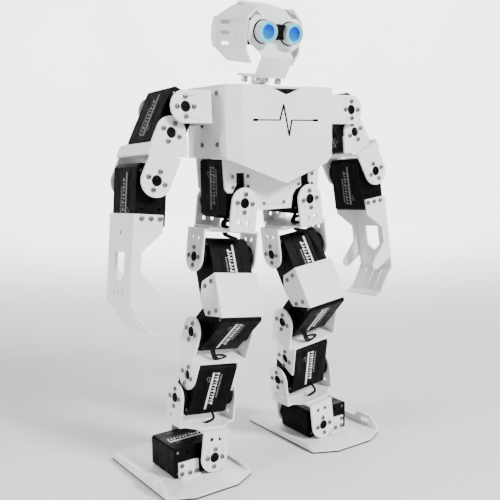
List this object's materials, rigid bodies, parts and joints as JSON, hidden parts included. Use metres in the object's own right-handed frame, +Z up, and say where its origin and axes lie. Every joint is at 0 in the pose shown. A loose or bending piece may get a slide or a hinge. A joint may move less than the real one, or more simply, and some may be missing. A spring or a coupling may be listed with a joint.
{
  "type": "humanoid robot kit",
  "caption": "Walking humanoid robot kit of folded white sheet brackets and black bus servos, with jointed arms and legs, claw hands and ultrasonic eyes.",
  "frame": {"origin": "on the ground, in the middle of the standing robot seen from above", "axes": "+Z up, the robot faces -Y, its right side is towards -X"},
  "size_m": [0.2634, 0.1106, 0.3756],
  "materials": {
    "white_sheet": "satin white powder coat on folded aluminium sheet",
    "servo_case": "fine-grained black moulded case",
    "horns": "black servo horns with blackened screws",
    "screws": "blackened pan-head screws",
    "sole_rubber": "thin matt black rubber sheet",
    "battery_wrap": "shrink-wrapped battery pack",
    "circuit_board": "solder-masked circuit board",
    "sensor_body": "black sensor housing",
    "glowing_lens": "lit blue diffuser",
    "label": "printed label bars with no lettering",
    "cable": "black flexible servo lead"
  },
  "bodies": {
    "torso": {"chest_shell": "white_sheet", "back_shell": "white_sheet", "pelvis_frame": "white_sheet", "torso_screws": "screws", "battery": "battery_wrap", "controller_board": "circuit_board", "neck_servo": "servo_case", "right_shoulder_servo": "servo_case", "right_hip_roll_servo": "servo_case", "left_shoulder_servo": "servo_case", "left_hip_roll_servo": "servo_case"},
    "head": {"head_frame": "white_sheet", "right_ear_cover": "white_sheet", "left_ear_cover": "white_sheet", "ultrasonic_sensor": "sensor_body", "sensor_lenses": "glowing_lens"},
    "right_shoulder": {"right_shoulder_bracket": "white_sheet", "right_shoulder_hardware": "horns"},
    "right_upper_arm": {"right_upper_arm_servo": "servo_case", "right_upper_arm_bracket": "white_sheet", "right_upper_arm_hardware": "horns"},
    "right_forearm": {"right_forearm_servo": "servo_case", "right_hand": "white_sheet"},
    "right_hip": {"right_hip_bracket": "white_sheet", "right_hip_hardware": "horns"},
    "right_thigh": {"right_thigh_servo": "servo_case", "right_knee_servo": "servo_case", "right_thigh_shell": "white_sheet", "right_thigh_screws": "screws"},
    "right_shin": {"right_shin_bracket": "white_sheet", "right_shin_hardware": "horns", "right_ankle_pitch_servo": "servo_case"},
    "right_ankle": {"right_ankle_bracket": "white_sheet", "right_ankle_hardware": "horns"},
    "right_foot": {"right_ankle_roll_servo": "servo_case", "right_foot_servo_bracket": "white_sheet", "right_foot_plate": "white_sheet", "right_foot_sole": "sole_rubber"},
    "left_shoulder": {"left_shoulder_bracket": "white_sheet", "left_shoulder_hardware": "horns"},
    "left_upper_arm": {"left_upper_arm_servo": "servo_case", "left_upper_arm_bracket": "white_sheet", "left_upper_arm_hardware": "horns"},
    "left_forearm": {"left_forearm_servo": "servo_case", "left_hand": "white_sheet"},
    "left_hip": {"left_hip_bracket": "white_sheet", "left_hip_hardware": "horns"},
    "left_thigh": {"left_thigh_servo": "servo_case", "left_knee_servo": "servo_case", "left_thigh_shell": "white_sheet", "left_thigh_screws": "screws"},
    "left_shin": {"left_shin_bracket": "white_sheet", "left_shin_hardware": "horns", "left_ankle_pitch_servo": "servo_case"},
    "left_ankle": {"left_ankle_bracket": "white_sheet", "left_ankle_hardware": "horns"},
    "left_foot": {"left_ankle_roll_servo": "servo_case", "left_foot_servo_bracket": "white_sheet", "left_foot_plate": "white_sheet", "left_foot_sole": "sole_rubber"}
  },
  "joints": [
    {"name": "neck_pan", "type": "hinge", "parent": "torso", "child": "head", "pos_m": [0, -0.01501, 0.3115], "axis": [0, 0, 1], "range_deg": [-80, 80]},
    {"name": "right_shoulder_pitch", "type": "hinge", "parent": "torso", "child": "right_shoulder", "pos_m": [-0.0811, -0.01141, 0.29], "axis": [1, 0, 0], "range_deg": [-120, 60]},
    {"name": "right_shoulder_roll", "type": "hinge", "parent": "right_shoulder", "child": "right_upper_arm", "pos_m": [-0.0811, -0.01141, 0.29], "axis": [0, 0.9983, -0.0576], "range_deg": [-10, 90]},
    {"name": "right_elbow", "type": "hinge", "parent": "right_upper_arm", "child": "right_forearm", "pos_m": [-0.1078, -0.01442, 0.2377], "axis": [0, -0.9983, 0.0576], "range_deg": [-100, 20]},
    {"name": "right_hip_roll", "type": "hinge", "parent": "torso", "child": "right_hip", "pos_m": [-0.0325, -0.01501, 0.21884], "axis": [0, 1, 0], "range_deg": [-6, 18]},
    {"name": "right_hip_pitch", "type": "hinge", "parent": "right_hip", "child": "right_thigh", "pos_m": [-0.03792, -0.01501, 0.17467], "axis": [-0.9925, 0, 0.1219], "range_deg": [-40, 75]},
    {"name": "right_knee", "type": "hinge", "parent": "right_thigh", "child": "right_shin", "pos_m": [-0.04509, -0.02015, 0.11634], "axis": [0.9925, 0, -0.1219], "range_deg": [-20, 100]},
    {"name": "right_ankle_pitch", "type": "hinge", "parent": "right_shin", "child": "right_ankle", "pos_m": [-0.05206, -0.00375, 0.05957], "axis": [0.9925, 0, -0.1219], "range_deg": [-40, 40]},
    {"name": "right_ankle_roll", "type": "hinge", "parent": "right_ankle", "child": "right_foot", "pos_m": [-0.05748, -0.00375, 0.0154], "axis": [0, 1, 0], "range_deg": [-20, 20]},
    {"name": "left_shoulder_pitch", "type": "hinge", "parent": "torso", "child": "left_shoulder", "pos_m": [0.0811, -0.01141, 0.29], "axis": [1, 0, 0], "range_deg": [-120, 60]},
    {"name": "left_shoulder_roll", "type": "hinge", "parent": "left_shoulder", "child": "left_upper_arm", "pos_m": [0.0811, -0.01141, 0.29], "axis": [0, -0.9983, 0.0576], "range_deg": [-10, 90]},
    {"name": "left_elbow", "type": "hinge", "parent": "left_upper_arm", "child": "left_forearm", "pos_m": [0.1078, -0.01442, 0.2377], "axis": [0, 0.9983, -0.0576], "range_deg": [-100, 20]},
    {"name": "left_hip_roll", "type": "hinge", "parent": "torso", "child": "left_hip", "pos_m": [0.0325, -0.01501, 0.21884], "axis": [0, -1, 0], "range_deg": [-6, 18]},
    {"name": "left_hip_pitch", "type": "hinge", "parent": "left_hip", "child": "left_thigh", "pos_m": [0.03792, -0.01501, 0.17467], "axis": [-0.9925, 0, -0.1219], "range_deg": [-40, 75]},
    {"name": "left_knee", "type": "hinge", "parent": "left_thigh", "child": "left_shin", "pos_m": [0.04509, -0.02015, 0.11634], "axis": [0.9925, 0, 0.1219], "range_deg": [-20, 100]},
    {"name": "left_ankle_pitch", "type": "hinge", "parent": "left_shin", "child": "left_ankle", "pos_m": [0.05206, -0.00375, 0.05957], "axis": [0.9925, 0, 0.1219], "range_deg": [-40, 40]},
    {"name": "left_ankle_roll", "type": "hinge", "parent": "left_ankle", "child": "left_foot", "pos_m": [0.05748, -0.00375, 0.0154], "axis": [0, -1, 0], "range_deg": [-20, 20]}
  ]
}
